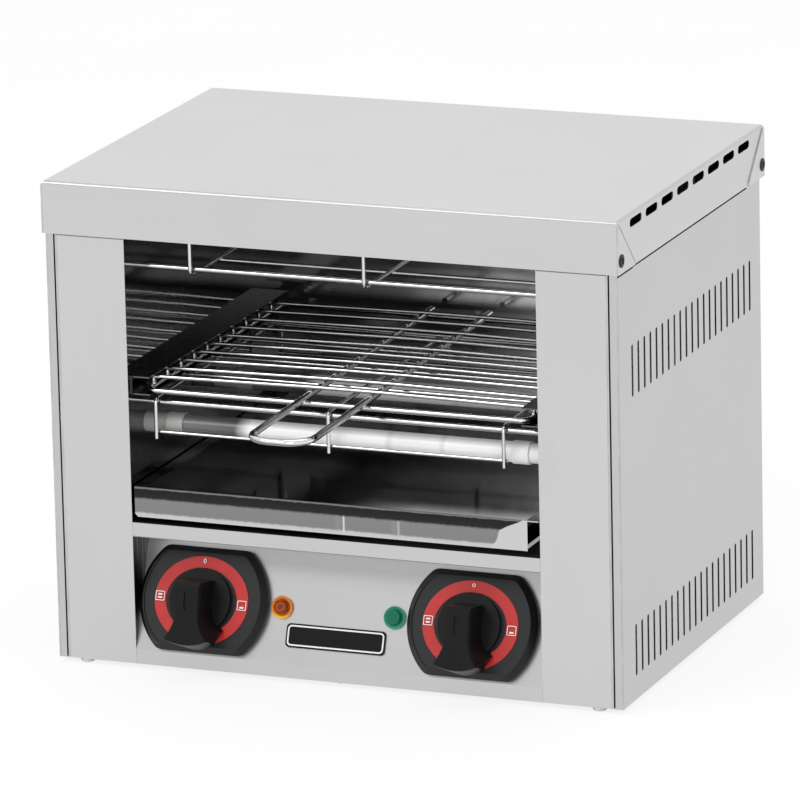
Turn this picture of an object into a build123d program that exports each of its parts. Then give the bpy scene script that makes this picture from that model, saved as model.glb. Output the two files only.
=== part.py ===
"""One-tier toaster with a pull-out wire rack: sheet casing, wire guards, quartz tubes and a crumb tray.

Lengths are millimetres. X is the width, Y runs from the front to the back and Z is up. The origin lies under
the middle of the whole object, on the surface that it stands on.
"""

import math
import os

from build123d import *

os.makedirs("parts", exist_ok=True)

# Overall size
lid_width = 440.0
lid_depth = 313.0
casing_height = 356.2
foot_height = 3.2
handle_reach = 110.5
bush_reach = 9.0
sheet = 0.8
cut_overrun = 2.0
fit_gap = 0.1
free_gap = 0.3

# Lid
skirt_depth = 38.6
lid_bend_radius = 2.4
tab_length = 34.7
tab_drop = 36.5
lid_vent_count = 8
lid_vent_length = 24.4
lid_vent_height = 6.2
lid_vent_first = 38.6
lid_vent_last = 268.8
lid_vent_below_top = 7.3
lid_screw_head = 9.6
lid_screw_dome = 1.1
lid_screw_taper = 28.0
lid_screw_shank = 4.0
lid_screw_length = 5.0
lid_screw_front_inset = 6.6
lid_screw_back_inset = 5.1
lid_screw_below_top = 29.4
screw_hole_gap = 0.2

# Casing
front_overhang = 2.0
back_overhang = 6.6
flange_width = 5.9
seam_gap = 1.2
side_top_below_top = 14.2
rear_flange_width = 14.0
wall_half_width = 157.2
cavity_depth = 282.0
post_return = 14.0
roof_below_top = 16.2
floor_height = 106.5
nose_height = 10.7
slot_count = 21
slot_first = 28.6
slot_last = 280.3
slot_length = 38.0
slot_width = 3.5
upper_slot_below_top = 114.7
lower_slot_height = 36.5
back_vent_count = 12
back_vent_pitch = 16.0
back_vent_length = 40.0
back_vent_height = 60.0
foot_diameter = 10.6
foot_inset_side = 19.8
foot_inset_front = 6.0
foot_inset_back = 8.4
foot_edge_radius = 1.6
rivet_diameter = 6.0
rivet_height = 1.4

# Sloping control panel
panel_slope = 20.5
panel_flange_height = 11.0

# Controls, placed across the panel and up its slope from the lower bend
left_knob_x = -107.0
right_knob_x = 100.9
knob_up = 38.8
bezel_rise = 0.8
bezel_radius = 49.9
bezel_half_height = 38.2
bezel_wall = 4.4
bezel_height = 9.4
bezel_corner = 9.0
bezel_bevel = 4.2
rim_width = 0.8
rim_drop = 1.0
ring_outer_x = 36.4
ring_outer_y = 32.2
ring_inner_x = 27.6
ring_inner_y = 23.8
ring_thickness = 0.5
knob_radius = 23.6
knob_skirt = 3.2
grip_bottom = 0.6
grip_height = 27.4
grip_slope = 9.0
grip_edge = 2.4
pointer_width = 4.4
pointer_length = 14.0
pointer_up = -2.4
pointer_depth = 1.0
knob_bore_depth = 12.0
spindle_diameter = 6.0
spindle_run = 0.05
spindle_behind = 26.0
switch_size = 42.0
switch_depth = 30.0
switch_bush = 9.0
switch_bush_rise = 3.0

# Outlines of a knob's grip, each as half widths with their places up from the knob's centre, and its lower end
grip_foot = ((10.0, 15.8), (10.0, -3.0), (11.6, -9.5), (15.0, -15.5), (20.0, -20.5), (13.5, -31.2))
grip_foot_end = -35.8
grip_shoulder = ((9.6, 11.0), (9.6, -13.0), (10.6, -18.6), (12.7, -23.8), (15.2, -28.0), (17.4, -31.2))
grip_shoulder_end = -35.6
grip_top = ((8.6, 8.0), (8.6, -13.5), (9.6, -19.0), (11.6, -24.0), (14.0, -28.0), (16.4, -31.0))
grip_top_end = -34.6

# Pilot lamps and the plain plate between the knobs
amber_x = -47.2
green_x = 40.0
lamp_up = 39.8
lens_diameter = 16.6
lens_step = 1.6
lens_inner = 12.0
lens_dome = 3.2
lens_taper = 20.0
lamp_barrel = 11.0
lamp_depth = 24.0
plate_x = -3.5
plate_up = 20.4
plate_width = 76.8
plate_height = 17.4
plate_thickness = 1.0
plate_corner = 3.2

# Rack and its runners
runner_over_tube = 27.0
runner_tall = 13.7
runner_wide = 14.5
runner_sheet = 1.0
runner_front = 5.5
runner_length = 262.0
rack_wire = 4.0
cross_wire = 3.0
handle_wire = 5.0
rack_half_width = 146.2
rack_front = 9.0
rack_depth = 258.0
rack_corner = 8.0
cross_count = 10
cross_first = 21.6
cross_pitch = 24.6
cross_bend = 2.0
cross_slope_drop = 1.6
cross_sag_radius = 200.0
handle_x = 2.6
handle_half_width = 23.0
handle_corner = 18.0
handle_lean = 7.2
weld_gap = 0.05
rest_gap = 0.2

# Guards of welded wire over the quartz tubes
guard_rod = 4.0
guard_wire = 3.0
guard_thin = 2.6
guard_bend = 4.0
guard_front = 18.5
guard_depth = 238.0
guard_rod_inset = 4.6
guard_leg = 30.0
guard_pitch = 134.0
lower_guard_x = -10.0
upper_guard_x = 20.0
guard_cross_first = 78.0
guard_cross_pitch = 52.0
guard_cross_count = 4
guard_end_rod_inset = 4.4
lower_rod_over_tube = 18.3
upper_rod_below_tube = 26.4
rod_end = 4.0

# Quartz tubes and their ceramic ends
tube_diameter = 15.0
tube_bore = 12.0
coil_diameter = 6.0
lower_tube_height = 173.7
upper_tube_below_roof = 21.0
tube_front = 33.0
tube_pitch = 130.0
tube_gap_to_wall = 30.6
collar_length = 13.0
collar_diameter = 16.8
sleeve_diameter = 14.6
sleeve_outside = 8.0
pin_diameter = 4.0
pin_length = 12.0

# Crumb tray
tray_front = 2.0
tray_half_width = 147.0
tray_rim_half_width = 155.5
tray_rim_height = 133.0
tray_apron = 22.5
tray_floor_height = 112.0
tray_depth = 274.0
tray_bevel = 2.2
tray_runner_wide = 8.6
tray_runner_tall = 11.0
tray_runner_front = 6.0
tray_runner_length = 262.0

# Electrical parts behind the cavity floor
bush_from_side = 67.2
bush_height = 50.0
bush_diameter = 22.0
bush_collar = 3.0
bush_bore = 9.0
bush_neck = 15.6
bush_inside = 12.0
terminal_width = 46.0
terminal_depth = 22.0
terminal_height = 18.0
terminal_hole = 4.0
terminal_ways = 3
terminal_from_back = 60.0
terminal_x = 60.0
loom_diameter = 7.0
loom_bend = 18.0
loom_x = 186.0
loom_top_below_roof = 10.0
back_screw_count = 3
back_screw_head = 7.0
back_screw_rise = 2.0
back_screw_shank = 3.5
back_screw_length = 6.0
back_screw_low = 30.0
back_screw_below_top = 66.2

# Places worked out from the sizes above
overall_depth = handle_reach + lid_depth - back_overhang + bush_reach
lid_front_y = handle_reach - overall_depth / 2
lid_back_y = lid_front_y + lid_depth
front_y = lid_front_y + front_overhang
back_y = lid_back_y - back_overhang
base_z = foot_height
base_top_z = base_z + sheet
top_z = base_z + casing_height
skirt_z = top_z - skirt_depth
side_top_z = top_z - side_top_below_top
lid_under_z = top_z - sheet
post_top_z = lid_under_z - lid_bend_radius
tab_half_width = lid_width / 2
skirt_half_width = tab_half_width - sheet
panel_half_width = skirt_half_width - sheet - free_gap
post_half_width = panel_half_width - flange_width - seam_gap
cavity_half = wall_half_width - fit_gap
cavity_back_y = front_y + cavity_depth
floor_z = base_z + floor_height
roof_z = top_z - roof_below_top
nose_bottom_z = floor_z - nose_height
upper_slot_height = casing_height - upper_slot_below_top
lid_screw_y = (lid_front_y + lid_screw_front_inset, lid_back_y - lid_screw_back_inset)
lid_screw_tip_x = tab_half_width - lid_screw_length
lid_screw_z = top_z - lid_screw_below_top
back_face_y = back_y - sheet - fit_gap
back_inner_half = panel_half_width - sheet - fit_gap
bush_x = back_inner_half - bush_from_side
back_screw_x = panel_half_width - rear_flange_width / 2
back_screw_high = casing_height - back_screw_below_top
back_screw_pitch = (back_screw_high - back_screw_low) / (back_screw_count - 1)
back_screw_z = [base_z + back_screw_low + i * back_screw_pitch for i in range(back_screw_count)]
back_vent_places = [
    ((i - (back_vent_count - 1) / 2) * back_vent_pitch, base_z + height)
    for i in range(back_vent_count)
    for height in (back_vent_height, casing_height - skirt_depth - back_vent_height)
]
bush_z = base_z + bush_height
bush_length = bush_reach + back_y - back_face_y
foot_x = panel_half_width - foot_inset_side
foot_y = (front_y + foot_inset_front, back_y - foot_inset_back)

slope = math.radians(panel_slope)
panel_bend_z = base_z + panel_flange_height
panel_rise = nose_bottom_z - panel_bend_z
panel_length = panel_rise / math.cos(slope)
nose_back_y = front_y + panel_rise * math.tan(slope)
panel_plane = Plane(
    origin=(0, front_y, panel_bend_z),
    x_dir=(1, 0, 0),
    z_dir=(0, -math.cos(slope), math.sin(slope)),
)
knob_places = ((left_knob_x, knob_up), (right_knob_x, knob_up))
lamp_places = ((amber_x, lamp_up), (green_x, lamp_up))
bezel_flat_corner = bezel_corner - bezel_bevel / 2
bezel_face = bezel_height - rim_drop
knob_low = bezel_height + free_gap

lower_tube_z = base_z + lower_tube_height
upper_tube_z = roof_z - upper_tube_below_roof
tube_y = (front_y + tube_front, front_y + tube_front + tube_pitch)
tube_places = [(y, z) for y in tube_y for z in (lower_tube_z, upper_tube_z)]
collar_x = wall_half_width - tube_gap_to_wall
sleeve_x = collar_x + collar_length
sleeve_end_x = wall_half_width + sheet + sleeve_outside
tube_end_x = sleeve_x - fit_gap
lower_rod_z = lower_tube_z + lower_rod_over_tube
upper_rod_z = upper_tube_z - upper_rod_below_tube
rod_end_x = wall_half_width + sheet + rod_end
guard_front_y = front_y + guard_front
guard_back_y = guard_front_y + guard_depth
rod_y = (guard_front_y + guard_rod_inset, guard_back_y - guard_rod_inset)
rod_places = [(y, z) for y in rod_y for z in (lower_rod_z, upper_rod_z)]

runner_z = lower_tube_z + runner_over_tube
runner_front_y = front_y + runner_front
rack_z = runner_z + runner_sheet + rack_wire / 2 + rest_gap
rack_front_y = front_y + rack_front
rack_back_y = rack_front_y + rack_depth
handle_z = rack_z + rack_wire / 2 + weld_gap + handle_wire / 2
handle_front_y = lid_front_y - handle_reach + handle_wire / 2
handle_back_y = rack_back_y + rack_wire / 2
handle_left = handle_x - handle_half_width
handle_right = handle_x + handle_half_width
cross_top_z = handle_z + handle_wire / 2 + weld_gap + cross_wire / 2
cross_low_z = rack_z + rack_wire / 2 + weld_gap

tray_rim_z = base_z + tray_rim_height
tray_floor_z = base_z + tray_floor_height
tray_front_y = front_y + tray_front
tray_back_y = tray_front_y + tray_depth
tray_runner_top_z = tray_rim_z - sheet - rest_gap
tray_runner_front_y = front_y + tray_runner_front
terminal_y = back_face_y - terminal_from_back
loom_z = base_top_z + terminal_height / 2


def slab(low, high, mode=Mode.ADD):
    """Add or cut a box between two opposite corners."""
    size = [abs(b - a) for a, b in zip(low, high)]
    middle = [(a + b) / 2 for a, b in zip(low, high)]
    with Locations(tuple(middle)):
        Box(*size, mode=mode)


def rod(start, end, diameter, mode=Mode.ADD):
    """Add or cut a round rod between two points."""
    run = Vector(*end) - Vector(*start)
    with BuildSketch(Plane(origin=start, z_dir=run)) as section:
        Circle(diameter / 2)
    extrude(section.sketch, amount=run.length, mode=mode)


def bent_wire(points, diameter, radius):
    """Add one wire that follows straight runs with round bends."""
    with BuildLine() as path:
        FilletPolyline(*points, radius=radius)
    with BuildSketch(Plane(origin=path.line @ 0, z_dir=path.line % 0)) as section:
        Circle(diameter / 2)
    sweep(section.sketch, path=path.line)


def row_of_slots(plane, places, long_side, short_side, rotation, depth):
    """Cut round-ended slots through a sheet that lies on a plane."""
    with BuildSketch(plane) as slots:
        with Locations(*places):
            SlotOverall(long_side, short_side, rotation=rotation)
    extrude(slots.sketch, amount=depth, both=True, mode=Mode.SUBTRACT)


def on_panel(x, up, height=0):
    """Give the plane that lies on the control panel at one place, or above it."""
    place = panel_plane.from_local_coords((x, up, height))
    return Plane(origin=place, x_dir=panel_plane.x_dir, z_dir=panel_plane.z_dir)


def finish(part, name):
    """Label one piece and write it."""
    part.label = name
    export_step(part, f"parts/{name}.step")


# Lid with its skirt, side tabs, vents and screw holes
vent_pitch = (lid_vent_last - lid_vent_first) / (lid_vent_count - 1)
vent_z = top_z - lid_vent_below_top
vent_y = [lid_front_y + lid_vent_first + i * vent_pitch for i in range(lid_vent_count)]
with BuildPart() as lid:
    slab((-skirt_half_width, lid_front_y, skirt_z), (skirt_half_width, lid_back_y, top_z))
    fillet(lid.faces().sort_by(Axis.Z)[-1].edges(), radius=lid_bend_radius)
    offset(amount=-sheet, openings=lid.faces().sort_by(Axis.Z)[0])
    for side in (-1, 1):
        tab_plane = Plane(origin=(side * skirt_half_width, 0, 0), x_dir=(0, 1, 0), z_dir=(1, 0, 0))
        with BuildSketch(tab_plane):
            for corner_y, inward in ((lid_front_y, 1), (lid_back_y, -1)):
                with BuildLine():
                    Polyline(
                        (corner_y, skirt_z),
                        (corner_y + inward * tab_length, skirt_z),
                        (corner_y + inward * tab_length, skirt_z + skirt_depth - tab_drop),
                        (corner_y + inward * lid_bend_radius, top_z - lid_bend_radius),
                        (corner_y, top_z - lid_bend_radius),
                        close=True,
                    )
                make_face()
        extrude(amount=side * sheet)
    row_of_slots(Plane.YZ, [(y, vent_z) for y in vent_y], lid_vent_length, lid_vent_height, 0, lid_width)
    for y in lid_screw_y:
        rod((-lid_width, y, lid_screw_z), (lid_width, y, lid_screw_z), lid_screw_shank + screw_hole_gap * 2,
            mode=Mode.SUBTRACT)
finish(lid.part, "lid")

with BuildPart() as lid_screws:
    for side in (-1, 1):
        for y in lid_screw_y:
            seat = (side * tab_half_width, y, lid_screw_z)
            rod(seat, (side * lid_screw_tip_x, y, lid_screw_z), lid_screw_shank)
            with BuildSketch(Plane(origin=seat, z_dir=(side, 0, 0))):
                Circle(lid_screw_head / 2)
            extrude(amount=lid_screw_dome, taper=lid_screw_taper)
finish(lid_screws.part, "lid_screws")

# Side panels with two rows of slots
slot_pitch = (slot_last - slot_first) / (slot_count - 1)
slot_places = [
    (front_y + slot_first + i * slot_pitch, base_z + height)
    for i in range(slot_count)
    for height in (upper_slot_height, lower_slot_height)
]


def side_panel(side):
    """Make one side panel with its flanges and the ear that its rear lid screw goes through."""
    outer = side * panel_half_width
    inner = side * (panel_half_width - sheet)
    front_edge = side * (panel_half_width - flange_width)
    rear_edge = side * (panel_half_width - rear_flange_width)
    ear_back_y = lid_back_y - sheet - free_gap
    with BuildPart() as panel:
        slab((inner, front_y, base_z), (outer, back_y, side_top_z))
        slab((inner, back_y, skirt_z), (outer, ear_back_y, side_top_z))
        slab((front_edge, front_y, base_z), (outer, front_y + sheet, side_top_z))
        slab((rear_edge, back_y - sheet, base_z), (outer, back_y, side_top_z))
        row_of_slots(Plane.YZ, slot_places, slot_length, slot_width, 90, lid_width)
        for y in lid_screw_y:
            start = (side * (lid_screw_tip_x - cut_overrun), y, lid_screw_z)
            end = (outer + side * cut_overrun, y, lid_screw_z)
            rod(start, end, lid_screw_shank + screw_hole_gap * 2, mode=Mode.SUBTRACT)
        for z in back_screw_z:
            start = (side * back_screw_x, back_y - sheet - cut_overrun, z)
            end = (side * back_screw_x, back_y + cut_overrun, z)
            rod(start, end, back_screw_shank + screw_hole_gap * 2, mode=Mode.SUBTRACT)
    return panel.part


finish(side_panel(-1), "left_side_panel")
finish(side_panel(1), "right_side_panel")


def inner_wall(side):
    """Make one inner wall, which is one sheet with the front post beside the opening."""
    inside = side * wall_half_width
    outside = side * (wall_half_width + sheet)
    far = side * post_half_width
    far_inner = side * (post_half_width - sheet)
    low_z = base_top_z + fit_gap
    with BuildPart() as wall:
        slab((inside, front_y, low_z), (outside, cavity_back_y, post_top_z))
        slab((inside, front_y + lid_bend_radius, post_top_z), (outside, cavity_back_y, lid_under_z))
        slab((inside, front_y, base_z), (far, front_y + sheet, post_top_z))
        slab((far_inner, front_y, low_z), (far, front_y + post_return, post_top_z))
        start_x = inside - side * cut_overrun
        end_x = outside + side * cut_overrun
        for y, z in tube_places:
            rod((start_x, y, z), (end_x, y, z), sleeve_diameter + fit_gap * 2, mode=Mode.SUBTRACT)
        for y, z in rod_places:
            rod((start_x, y, z), (end_x, y, z), guard_rod + fit_gap * 2, mode=Mode.SUBTRACT)
        start = (start_x, terminal_y, loom_z)
        end = (end_x, terminal_y, loom_z)
        rod(start, end, loom_diameter + fit_gap * 2, mode=Mode.SUBTRACT)
    return wall.part


finish(inner_wall(-1), "left_inner_wall")
finish(inner_wall(1), "right_inner_wall")

# Cavity back, roof and floor
with BuildPart() as cavity_back:
    slab((-wall_half_width - sheet, cavity_back_y + fit_gap, floor_z - sheet),
         (wall_half_width + sheet, cavity_back_y + fit_gap + sheet, roof_z + sheet))
finish(cavity_back.part, "cavity_back")

with BuildPart() as cavity_roof:
    slab((-cavity_half, front_y, roof_z), (cavity_half, cavity_back_y, roof_z + sheet))
    slab((-cavity_half, front_y, roof_z), (cavity_half, front_y + sheet, post_top_z))
finish(cavity_roof.part, "cavity_roof")

with BuildPart() as cavity_floor:
    slab((-cavity_half, front_y, floor_z - sheet), (cavity_half, cavity_back_y, floor_z))
    slab((-cavity_half, front_y, nose_bottom_z), (cavity_half, front_y + sheet, floor_z))
    slab((-cavity_half, front_y, nose_bottom_z), (cavity_half, nose_back_y, nose_bottom_z + sheet))
finish(cavity_floor.part, "cavity_floor")

# Outer back panel with its vents, screws and the hole for the cable bush
with BuildPart() as back_panel:
    slab((-back_inner_half, back_face_y - sheet, base_top_z + fit_gap),
         (back_inner_half, back_face_y, side_top_z))
    vent_plane = Plane.XZ.offset(-back_face_y)
    row_of_slots(vent_plane, back_vent_places, back_vent_length, slot_width, 90, sheet * 2)
    start = (bush_x, back_face_y - sheet - cut_overrun, bush_z)
    end = (bush_x, back_y + cut_overrun, bush_z)
    rod(start, end, bush_neck + fit_gap * 2, mode=Mode.SUBTRACT)
    for x in (-back_screw_x, back_screw_x):
        for z in back_screw_z:
            start = (x, back_face_y - sheet - cut_overrun, z)
            rod(start, (x, back_y, z), back_screw_shank + screw_hole_gap * 2, mode=Mode.SUBTRACT)
finish(back_panel.part, "back_panel")

with BuildPart() as back_screws:
    for x in (-back_screw_x, back_screw_x):
        for z in back_screw_z:
            rod((x, back_y, z), (x, back_y + back_screw_rise, z), back_screw_head)
            rod((x, back_y, z), (x, back_y - back_screw_length, z), back_screw_shank)
finish(back_screws.part, "back_screws")

with BuildPart() as cable_bush:
    bush_plane = Plane(origin=(bush_x, back_face_y, bush_z), x_dir=(1, 0, 0), z_dir=(0, 1, 0))
    with BuildSketch(bush_plane):
        Circle(bush_diameter / 2)
    extrude(amount=bush_collar)
    with BuildSketch(bush_plane):
        Circle(bush_neck / 2)
    extrude(amount=bush_length)
    with BuildSketch(bush_plane):
        Circle(bush_neck / 2)
    extrude(amount=-bush_inside)
    with BuildSketch(bush_plane):
        Circle(bush_bore / 2)
    extrude(amount=bush_length + bush_inside, both=True, mode=Mode.SUBTRACT)
finish(cable_bush.part, "cable_bush")

# Base plate, feet and the rivets under the middle of the plate
with BuildPart() as base_plate:
    slab((-back_inner_half, front_y + sheet + fit_gap, base_z), (back_inner_half, back_face_y, base_top_z))
finish(base_plate.part, "base_plate")

with BuildPart() as feet:
    for x in (-foot_x, foot_x):
        for y in foot_y:
            rod((x, y, 0), (x, y, base_z), foot_diameter)
    fillet(feet.faces().filter_by(Plane.XY).group_by(Axis.Z)[0].edges(), radius=foot_edge_radius)
finish(feet.part, "feet")

with BuildPart() as base_rivets:
    for y in foot_y:
        rod((0, y, base_z - rivet_height), (0, y, base_z), rivet_diameter)
finish(base_rivets.part, "base_rivets")

# Sloping control panel with its bottom flange
with BuildPart() as control_panel:
    with BuildSketch(panel_plane):
        with Locations((0, panel_length / 2)):
            Rectangle(cavity_half * 2, panel_length)
    extrude(amount=-sheet)
    slab((-cavity_half, front_y, base_z), (cavity_half, front_y + sheet, panel_bend_z))
    with BuildSketch(panel_plane):
        with Locations(*knob_places):
            Circle(switch_bush / 2 + screw_hole_gap)
        with Locations(*lamp_places):
            Circle(lamp_barrel / 2 + screw_hole_gap)
    extrude(amount=cut_overrun, both=True, mode=Mode.SUBTRACT)
finish(control_panel.part, "control_panel")


def barrel(inset, corner):
    """Draw a round plate with flat top and bottom edges, drawn in by an inset."""
    Circle(bezel_radius - inset)
    Rectangle(bezel_radius * 2, (bezel_half_height - inset) * 2, mode=Mode.INTERSECT)
    fillet(vertices(), radius=corner)


def bezel(x):
    """Make one bezel: a straight wall, a bevel above it and a thin rim round its face."""
    up = knob_up + bezel_rise
    with BuildPart() as plate:
        with BuildSketch(on_panel(x, up)):
            barrel(0, bezel_corner)
        extrude(amount=bezel_wall)
        with BuildSketch(on_panel(x, up, bezel_wall)):
            barrel(0, bezel_corner)
        with BuildSketch(on_panel(x, up, bezel_height)):
            barrel(bezel_bevel, bezel_flat_corner)
        loft()
        with BuildSketch(on_panel(x, up, bezel_height)):
            barrel(bezel_bevel + rim_width, bezel_flat_corner - rim_width / 2)
        extrude(amount=-rim_drop, mode=Mode.SUBTRACT)
        with BuildSketch(on_panel(x, knob_up)):
            Circle(switch_bush / 2 + screw_hole_gap)
        extrude(amount=bezel_height, mode=Mode.SUBTRACT)
    return plate.part


def dial_ring(x):
    """Make one flat ring that lies on the bezel's face."""
    with BuildPart() as ring:
        with BuildSketch(on_panel(x, knob_up, bezel_face)):
            Ellipse(ring_outer_x, ring_outer_y)
            Ellipse(ring_inner_x, ring_inner_y, mode=Mode.SUBTRACT)
        extrude(amount=ring_thickness)
    return ring.part


def grip_section(plane, points, end_up):
    """Return one outline of a knob's grip: both sides through the given points, and an arc at the lower end."""
    right = [(across, up) for across, up in reversed(points)]
    left = [(-across, up) for across, up in points]
    with BuildSketch(plane) as section:
        with BuildLine():
            Polyline(*right, *left)
            ThreePointArc(left[-1], (0, end_up), right[0])
        make_face()
    return section.sketch


def knob(x):
    """Make one knob: a round skirt and a tall grip that widens to a tail, with a groove in its sloping top."""
    top_plane = on_panel(x, knob_up, knob_low + grip_height).rotated((grip_slope, 0, 0))
    shoulder_plane = top_plane.offset(-grip_edge)
    sections = [
        grip_section(on_panel(x, knob_up, knob_low + grip_bottom), grip_foot, grip_foot_end),
        grip_section(shoulder_plane, grip_shoulder, grip_shoulder_end),
        grip_section(top_plane, grip_top, grip_top_end),
    ]
    with BuildPart() as body:
        with BuildSketch(on_panel(x, knob_up, knob_low)):
            Circle(knob_radius)
        extrude(amount=knob_skirt)
        loft(sections, ruled=True)
        with BuildSketch(top_plane):
            with Locations((0, pointer_up)):
                SlotOverall(pointer_length, pointer_width, rotation=90)
        extrude(amount=-pointer_depth, mode=Mode.SUBTRACT)
        with BuildSketch(on_panel(x, knob_up, knob_low)):
            Circle(spindle_diameter / 2 + spindle_run)
        extrude(amount=knob_bore_depth, mode=Mode.SUBTRACT)
    return body.part


def spindle(x):
    """Make the steel spindle between one switch and its knob."""
    with BuildPart() as shaft:
        with BuildSketch(on_panel(x, knob_up, -sheet - spindle_behind)):
            Circle(spindle_diameter / 2)
        extrude(amount=sheet + spindle_behind + knob_low + knob_bore_depth - fit_gap)
    return shaft.part


def rotary_switch(x):
    """Make one rotary switch with the round neck that goes through the panel."""
    with BuildPart() as switch:
        with BuildSketch(on_panel(x, knob_up, -sheet)):
            Rectangle(switch_size, switch_size)
        extrude(amount=-switch_depth)
        with BuildSketch(on_panel(x, knob_up, -sheet)):
            Circle(switch_bush / 2)
        extrude(amount=sheet + switch_bush_rise)
        with BuildSketch(on_panel(x, knob_up, switch_bush_rise)):
            Circle(spindle_diameter / 2 + spindle_run)
        extrude(amount=-switch_bush_rise - sheet - spindle_behind - spindle_run, mode=Mode.SUBTRACT)
    return switch.part


for side_name, knob_x in (("left", left_knob_x), ("right", right_knob_x)):
    finish(bezel(knob_x), f"{side_name}_bezel")
    finish(dial_ring(knob_x), f"{side_name}_dial_ring")
    finish(knob(knob_x), f"{side_name}_knob")
    finish(spindle(knob_x), f"{side_name}_spindle")
    finish(rotary_switch(knob_x), f"{side_name}_rotary_switch")


def lamp_lens(x):
    """Make the stepped lens of one pilot lamp."""
    with BuildPart() as lens:
        with BuildSketch(on_panel(x, lamp_up)):
            Circle(lens_diameter / 2)
        extrude(amount=lens_step)
        with BuildSketch(on_panel(x, lamp_up, lens_step)):
            Circle(lens_inner / 2)
        extrude(amount=lens_dome, taper=lens_taper)
    return lens.part


finish(lamp_lens(amber_x), "amber_lamp_lens")
finish(lamp_lens(green_x), "green_lamp_lens")

with BuildPart() as lamp_bodies:
    with BuildSketch(panel_plane):
        with Locations(*lamp_places):
            Circle(lamp_barrel / 2)
    extrude(amount=-lamp_depth)
finish(lamp_bodies.part, "lamp_bodies")

with BuildPart() as front_plate:
    with BuildSketch(on_panel(plate_x, plate_up)):
        RectangleRounded(plate_width, plate_height, plate_corner)
    extrude(amount=plate_thickness)
finish(front_plate.part, "front_plate")


def rack_runner(side):
    """Make one C-shaped runner that the rack slides in."""
    wall_x = side * wall_half_width
    web_x = side * (wall_half_width - runner_sheet)
    tip_x = side * (wall_half_width - runner_wide)
    back = runner_front_y + runner_length
    with BuildPart() as channel:
        slab((web_x, runner_front_y, runner_z), (wall_x, back, runner_z + runner_tall))
        slab((tip_x, runner_front_y, runner_z), (wall_x, back, runner_z + runner_sheet))
        slab((tip_x, runner_front_y, runner_z + runner_tall - runner_sheet),
             (wall_x, back, runner_z + runner_tall))
    return channel.part


def tray_runner(side):
    """Make one angle runner that carries the crumb tray's flange."""
    wall_x = side * wall_half_width
    web_x = side * (wall_half_width - sheet)
    tip_x = side * (wall_half_width - tray_runner_wide)
    back = tray_runner_front_y + tray_runner_length
    with BuildPart() as angle:
        slab((tip_x, tray_runner_front_y, tray_runner_top_z - sheet), (wall_x, back, tray_runner_top_z))
        low = (web_x, tray_runner_front_y, tray_runner_top_z - tray_runner_tall)
        slab(low, (wall_x, back, tray_runner_top_z))
    return angle.part


for side_name, side in (("left", -1), ("right", 1)):
    finish(rack_runner(side), f"{side_name}_rack_runner")
    finish(tray_runner(side), f"{side_name}_tray_runner")

# Rack: a frame with a handle loop on it and cross wires over both
with BuildPart() as rack_frame:
    with BuildLine() as frame_path:
        FilletPolyline(
            (rack_half_width, rack_front_y, rack_z),
            (rack_half_width, rack_back_y, rack_z),
            (-rack_half_width, rack_back_y, rack_z),
            (-rack_half_width, rack_front_y, rack_z),
            radius=rack_corner,
            close=True,
        )
    with BuildSketch(Plane(origin=frame_path.line @ 0, z_dir=frame_path.line % 0)):
        Circle(rack_wire / 2)
    sweep(path=frame_path.line)
finish(rack_frame.part, "rack_frame")

with BuildPart() as rack_handle:
    bent_wire(
        [
            (handle_left - handle_lean, handle_back_y, handle_z),
            (handle_left, handle_front_y, handle_z),
            (handle_right, handle_front_y, handle_z),
            (handle_right - handle_lean, handle_back_y, handle_z),
        ],
        handle_wire,
        handle_corner,
    )
finish(rack_handle.part, "rack_handle")

with BuildPart() as rack_cross_wires:
    for i in range(cross_count):
        y = front_y + cross_first + i * cross_pitch
        bent_wire(
            [
                (-rack_half_width, y, cross_low_z),
                (-rack_half_width, y, cross_top_z - cross_slope_drop),
                (handle_left - handle_wire, y, cross_top_z),
                (handle_right + handle_wire, y, cross_top_z),
                (rack_half_width, y, cross_top_z - cross_slope_drop),
                (rack_half_width, y, cross_low_z),
            ],
            cross_wire,
            [cross_bend, cross_sag_radius, cross_sag_radius, cross_bend],
        )
finish(rack_cross_wires.part, "rack_cross_wires")


def guard_wires(centre_x, rod_z, leg_way):
    """Make the three bent wires of one guard, with legs that point up (1) or down (-1)."""
    wire_z = rod_z - leg_way * (guard_rod + guard_wire + weld_gap * 2) / 2
    tip_z = wire_z + leg_way * guard_leg
    with BuildPart() as wires:
        for i in (-1, 0, 1):
            x = centre_x + i * guard_pitch
            bent_wire(
                [
                    (x, guard_front_y, tip_z),
                    (x, guard_front_y, wire_z),
                    (x, guard_back_y, wire_z),
                    (x, guard_back_y, tip_z),
                ],
                guard_wire,
                guard_bend,
            )
    return wires.part


def guard_rods(rod_z):
    """Make the two thick rods that carry one guard from wall to wall."""
    with BuildPart() as rods:
        for y in rod_y:
            rod((-rod_end_x, y, rod_z), (rod_end_x, y, rod_z), guard_rod)
    return rods.part


def guard_cross_rods(centre_x, rod_z, leg_way):
    """Make the thin rods across one guard: four on its flat side and one behind each row of leg tips."""
    half = guard_pitch + guard_wire / 2
    wire_z = rod_z - leg_way * (guard_rod + guard_wire + weld_gap * 2) / 2
    flat_z = wire_z - leg_way * (guard_wire + guard_thin + weld_gap * 2) / 2
    tip_z = wire_z + leg_way * (guard_leg - guard_end_rod_inset)
    leg_step = (guard_wire + guard_thin + weld_gap * 2) / 2
    first_y = front_y + guard_cross_first
    places = [(first_y + i * guard_cross_pitch, flat_z) for i in range(guard_cross_count)]
    places.append((guard_front_y + leg_step, tip_z))
    places.append((guard_back_y - leg_step, tip_z))
    with BuildPart() as rods:
        for y, z in places:
            rod((centre_x - half, y, z), (centre_x + half, y, z), guard_thin)
    return rods.part


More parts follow.
